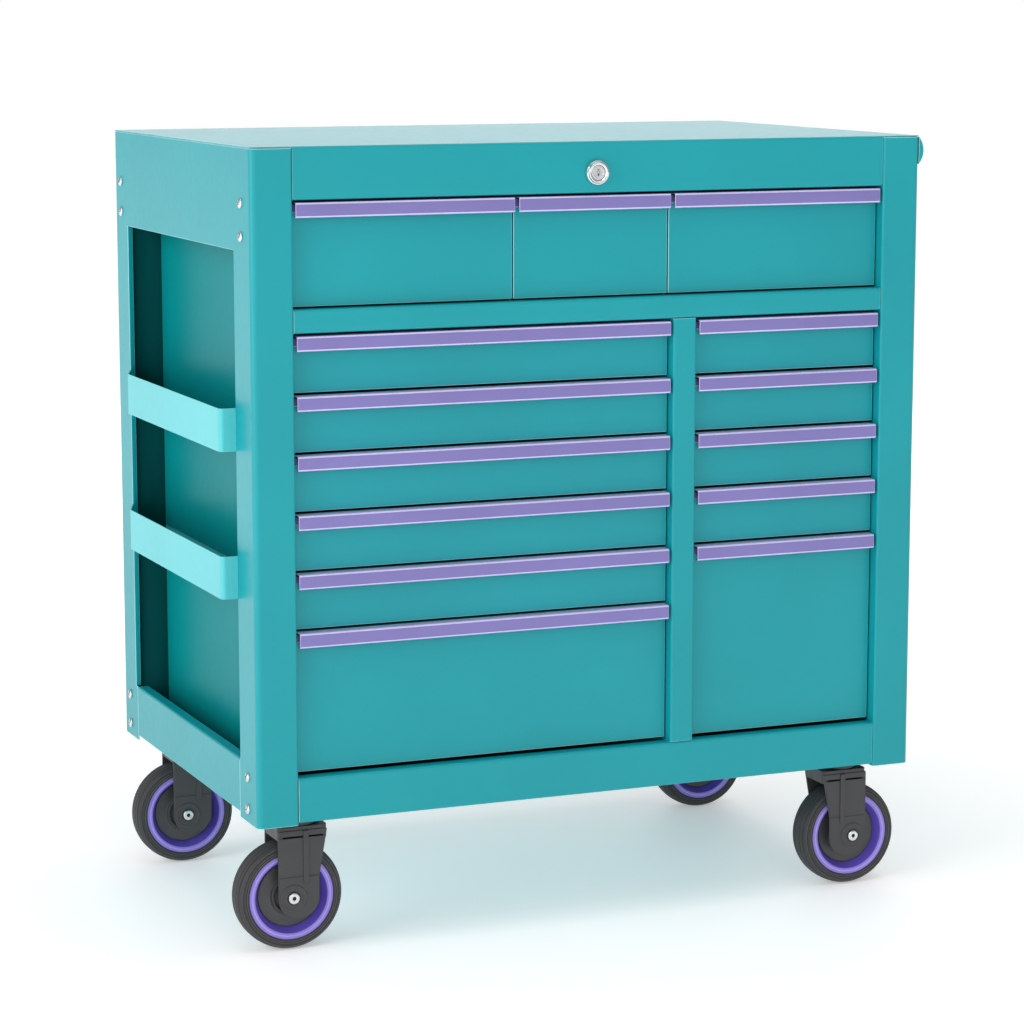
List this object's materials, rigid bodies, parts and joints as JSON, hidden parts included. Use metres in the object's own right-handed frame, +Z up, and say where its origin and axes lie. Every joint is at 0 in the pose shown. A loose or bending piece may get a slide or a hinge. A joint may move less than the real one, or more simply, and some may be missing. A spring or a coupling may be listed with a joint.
{
  "type": "rolling tool chest",
  "caption": "Rolling steel tool chest with full-width handled drawers in two stacks under a split top row, open side trays, a key lock and swivel casters.",
  "frame": {"origin": "centre of the bounding box's base, on the floor between the casters", "axes": "+Z up, -Y the drawer front, +X to the right of someone facing the drawers; the wheels roll along X at rest"},
  "size_m": [0.9524, 0.603, 1.015],
  "materials": {
    "teal_paint": "semi-gloss powder coat",
    "dark_teal_paint": "semi-gloss powder coat, inside faces",
    "purple_handle": "satin purple anodised extrusion",
    "chrome": "polished chrome",
    "zinc": "zinc plated",
    "dark_fork": "dark grey powder coat",
    "purple_rim": "moulded purple nylon",
    "tyre": "dark grey rubber"
  },
  "bodies": {
    "cabinet": {"left_side_frame": "teal_paint", "right_side_panel": "teal_paint", "top_panel": "teal_paint", "base_panel": "dark_teal_paint", "back_panel": "teal_paint", "left_apron": "teal_paint", "left_bay_liner": "dark_teal_paint", "right_slide_wall": "dark_teal_paint", "mid_rail": "teal_paint", "front_bottom_rail": "teal_paint", "centre_divider": "teal_paint", "push_rail": "teal_paint", "lock_housing": "chrome", "upper_side_tray": "teal_paint", "lower_side_tray": "teal_paint", "caster_front_left_mount": "zinc", "caster_front_right_mount": "zinc", "caster_back_left_mount": "zinc", "caster_back_right_mount": "zinc"},
    "lock_plug": {"lock_plug": "chrome"},
    "drawer_top_left": {"drawer_top_left": "teal_paint", "handle_top_left": "purple_handle"},
    "drawer_top_middle": {"drawer_top_middle": "teal_paint", "handle_top_middle": "purple_handle"},
    "drawer_top_right": {"drawer_top_right": "teal_paint", "handle_top_right": "purple_handle"},
    "drawer_left_1": {"drawer_left_1": "teal_paint", "handle_left_1": "purple_handle"},
    "drawer_left_2": {"drawer_left_2": "teal_paint", "handle_left_2": "purple_handle"},
    "drawer_left_3": {"drawer_left_3": "teal_paint", "handle_left_3": "purple_handle"},
    "drawer_left_4": {"drawer_left_4": "teal_paint", "handle_left_4": "purple_handle"},
    "drawer_left_5": {"drawer_left_5": "teal_paint", "handle_left_5": "purple_handle"},
    "drawer_left_6": {"drawer_left_6": "teal_paint", "handle_left_6": "purple_handle"},
    "drawer_right_1": {"drawer_right_1": "teal_paint", "handle_right_1": "purple_handle"},
    "drawer_right_2": {"drawer_right_2": "teal_paint", "handle_right_2": "purple_handle"},
    "drawer_right_3": {"drawer_right_3": "teal_paint", "handle_right_3": "purple_handle"},
    "drawer_right_4": {"drawer_right_4": "teal_paint", "handle_right_4": "purple_handle"},
    "drawer_right_5": {"drawer_right_5": "teal_paint", "handle_right_5": "purple_handle"},
    "caster_front_left_fork": {"caster_front_left_fork": "dark_fork"},
    "caster_front_left_wheel": {"caster_front_left_rim": "purple_rim", "caster_front_left_tyre": "tyre"},
    "caster_front_right_fork": {"caster_front_right_fork": "dark_fork"},
    "caster_front_right_wheel": {"caster_front_right_rim": "purple_rim", "caster_front_right_tyre": "tyre"},
    "caster_back_left_fork": {"caster_back_left_fork": "dark_fork"},
    "caster_back_left_wheel": {"caster_back_left_rim": "purple_rim", "caster_back_left_tyre": "tyre"},
    "caster_back_right_fork": {"caster_back_right_fork": "dark_fork"},
    "caster_back_right_wheel": {"caster_back_right_rim": "purple_rim", "caster_back_right_tyre": "tyre"}
  },
  "joints": [
    {"name": "lock_turn", "type": "hinge", "parent": "cabinet", "child": "lock_plug", "pos_m": [0.00275, -0.2935, 0.976], "axis": [0, -1, 0], "range_deg": [0, 90]},
    {"name": "slide_top_left", "type": "slide", "parent": "cabinet", "child": "drawer_top_left", "axis": [0, -1, 0], "range_m": [0, 0.42]},
    {"name": "slide_top_middle", "type": "slide", "parent": "cabinet", "child": "drawer_top_middle", "axis": [0, -1, 0], "range_m": [0, 0.42]},
    {"name": "slide_top_right", "type": "slide", "parent": "cabinet", "child": "drawer_top_right", "axis": [0, -1, 0], "range_m": [0, 0.42]},
    {"name": "slide_left_1", "type": "slide", "parent": "cabinet", "child": "drawer_left_1", "axis": [0, -1, 0], "range_m": [0, 0.42]},
    {"name": "slide_left_2", "type": "slide", "parent": "cabinet", "child": "drawer_left_2", "axis": [0, -1, 0], "range_m": [0, 0.42]},
    {"name": "slide_left_3", "type": "slide", "parent": "cabinet", "child": "drawer_left_3", "axis": [0, -1, 0], "range_m": [0, 0.42]},
    {"name": "slide_left_4", "type": "slide", "parent": "cabinet", "child": "drawer_left_4", "axis": [0, -1, 0], "range_m": [0, 0.42]},
    {"name": "slide_left_5", "type": "slide", "parent": "cabinet", "child": "drawer_left_5", "axis": [0, -1, 0], "range_m": [0, 0.42]},
    {"name": "slide_left_6", "type": "slide", "parent": "cabinet", "child": "drawer_left_6", "axis": [0, -1, 0], "range_m": [0, 0.42]},
    {"name": "slide_right_1", "type": "slide", "parent": "cabinet", "child": "drawer_right_1", "axis": [0, -1, 0], "range_m": [0, 0.42]},
    {"name": "slide_right_2", "type": "slide", "parent": "cabinet", "child": "drawer_right_2", "axis": [0, -1, 0], "range_m": [0, 0.42]},
    {"name": "slide_right_3", "type": "slide", "parent": "cabinet", "child": "drawer_right_3", "axis": [0, -1, 0], "range_m": [0, 0.42]},
    {"name": "slide_right_4", "type": "slide", "parent": "cabinet", "child": "drawer_right_4", "axis": [0, -1, 0], "range_m": [0, 0.42]},
    {"name": "slide_right_5", "type": "slide", "parent": "cabinet", "child": "drawer_right_5", "axis": [0, -1, 0], "range_m": [0, 0.42]},
    {"name": "caster_front_left_swivel", "type": "hinge", "parent": "cabinet", "child": "caster_front_left_fork", "pos_m": [-0.38925, -0.241, 0.155], "axis": [0, 0, 1], "continuous": true},
    {"name": "caster_front_left_spin", "type": "hinge", "parent": "caster_front_left_fork", "child": "caster_front_left_wheel", "pos_m": [-0.40125, -0.241, 0.07], "axis": [0, 1, 0], "continuous": true},
    {"name": "caster_front_right_swivel", "type": "hinge", "parent": "cabinet", "child": "caster_front_right_fork", "pos_m": [0.38675, -0.241, 0.155], "axis": [0, 0, 1], "continuous": true},
    {"name": "caster_front_right_spin", "type": "hinge", "parent": "caster_front_right_fork", "child": "caster_front_right_wheel", "pos_m": [0.39875, -0.241, 0.07], "axis": [0, 1, 0], "continuous": true},
    {"name": "caster_back_left_swivel", "type": "hinge", "parent": "cabinet", "child": "caster_back_left_fork", "pos_m": [-0.38925, 0.214, 0.155], "axis": [0, 0, 1], "continuous": true},
    {"name": "caster_back_left_spin", "type": "hinge", "parent": "caster_back_left_fork", "child": "caster_back_left_wheel", "pos_m": [-0.40125, 0.214, 0.07], "axis": [0, 1, 0], "continuous": true},
    {"name": "caster_back_right_swivel", "type": "hinge", "parent": "cabinet", "child": "caster_back_right_fork", "pos_m": [0.38675, 0.214, 0.155], "axis": [0, 0, 1], "continuous": true},
    {"name": "caster_back_right_spin", "type": "hinge", "parent": "caster_back_right_fork", "child": "caster_back_right_wheel", "pos_m": [0.39875, 0.214, 0.07], "axis": [0, 1, 0], "continuous": true}
  ]
}
